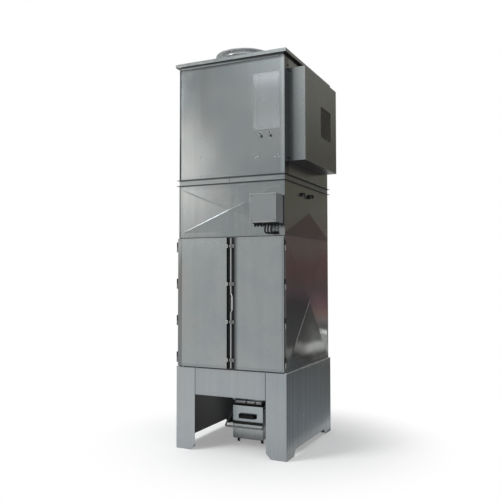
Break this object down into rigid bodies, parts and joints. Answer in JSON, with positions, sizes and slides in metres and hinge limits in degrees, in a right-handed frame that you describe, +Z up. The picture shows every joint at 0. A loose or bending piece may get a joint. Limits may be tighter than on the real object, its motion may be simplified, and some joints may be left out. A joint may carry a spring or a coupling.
{
  "type": "cartridge dust collector",
  "caption": "Tall sheet metal cartridge dust collector on a leg base, with hopper, rolling dust bin, two filter doors, fan section and round outlet.",
  "frame": {"origin": "on the floor under the middle of the whole product's box, side enclosure, control box and inlet included", "axes": "+Z up, -Y out of the front with its two doors, +X towards the side with the fan enclosure"},
  "size_m": [1.167, 1.371, 3.49],
  "materials": {
    "galvanised_sheet": "galvanised, satin",
    "brushed_sheet": "brushed, satin",
    "dark_sheet": "perforated, dull",
    "bright_steel": "bright zinc",
    "bar_steel": "dull bar steel",
    "black_rubber": "matte",
    "black_plastic": "satin",
    "box_enamel": "satin enamel",
    "filter_medium": "pleated felt"
  },
  "bodies": {
    "collector": {"base_side_left": "brushed_sheet", "base_side_right": "brushed_sheet", "base_front_fascia": "brushed_sheet", "base_rear_fascia": "brushed_sheet", "base_top_frame": "brushed_sheet", "hopper": "galvanised_sheet", "hopper_outlet_flange": "bright_steel", "outlet_gasket": "black_rubber", "filter_side_left": "galvanised_sheet", "filter_side_right": "galvanised_sheet", "filter_rear_panel": "galvanised_sheet", "door_frame": "galvanised_sheet", "door_gasket": "black_rubber", "tube_sheet": "galvanised_sheet", "cartridge_front_left": "filter_medium", "cartridge_front_right": "filter_medium", "cartridge_rear_left": "filter_medium", "cartridge_rear_right": "filter_medium", "plenum_front": "galvanised_sheet", "plenum_rear": "galvanised_sheet", "plenum_side_left": "galvanised_sheet", "plenum_side_right": "galvanised_sheet", "section_joint_frame": "galvanised_sheet", "fan_front_panel": "galvanised_sheet", "fan_rear_panel": "galvanised_sheet", "fan_side_left": "galvanised_sheet", "fan_side_right": "galvanised_sheet", "service_plate": "brushed_sheet", "plate_lock_left": "bright_steel", "plate_lock_right": "bright_steel", "roof_cap": "galvanised_sheet", "outlet_spigot": "bright_steel", "outlet_flange": "bright_steel", "inlet_spigot": "bright_steel", "fan_enclosure": "galvanised_sheet", "vent_grille": "dark_sheet", "control_box": "box_enamel", "control_box_lid": "box_enamel", "gland_plate": "black_plastic", "wall_gland": "black_plastic", "control_cable_1": "black_rubber", "control_cable_2": "black_rubber", "control_cable_3": "black_rubber", "side_fitting_front": "black_plastic", "side_fitting_rear": "black_plastic", "left_hinge_strip": "bar_steel", "right_hinge_strip": "bar_steel"},
    "left_door": {"left_door": "galvanised_sheet"},
    "right_door": {"right_door": "galvanised_sheet"},
    "lock_rod": {"lock_rod": "bright_steel"},
    "dust_bin": {"dust_bin": "galvanised_sheet", "bin_band": "black_rubber", "bin_handle": "black_plastic", "bin_dolly": "black_plastic"},
    "bin_lever": {"bin_lever": "bar_steel"}
  },
  "joints": [
    {"name": "left_door_hinge", "type": "hinge", "parent": "collector", "child": "left_door", "pos_m": [-0.5675, -0.5445, 0.7115], "axis": [0, 0, -1], "range_deg": [0, 110]},
    {"name": "right_door_hinge", "type": "hinge", "parent": "collector", "child": "right_door", "pos_m": [0.4485, -0.5445, 0.7115], "axis": [0, 0, 1], "range_deg": [0, 110]},
    {"name": "lock_rod_turn", "type": "hinge", "parent": "right_door", "child": "lock_rod", "pos_m": [-0.0395, -0.5545, 0.7115], "axis": [0, 0, -1], "range_deg": [0, 90]},
    {"name": "bin_roll_out", "type": "slide", "parent": "collector", "child": "dust_bin", "axis": [0, -1, 0], "range_m": [0, 0.8]},
    {"name": "bin_lever_lift", "type": "hinge", "parent": "dust_bin", "child": "bin_lever", "pos_m": [-0.0595, -0.0825, 0.3], "axis": [-1, 0, 0], "range_deg": [0, 36]}
  ]
}
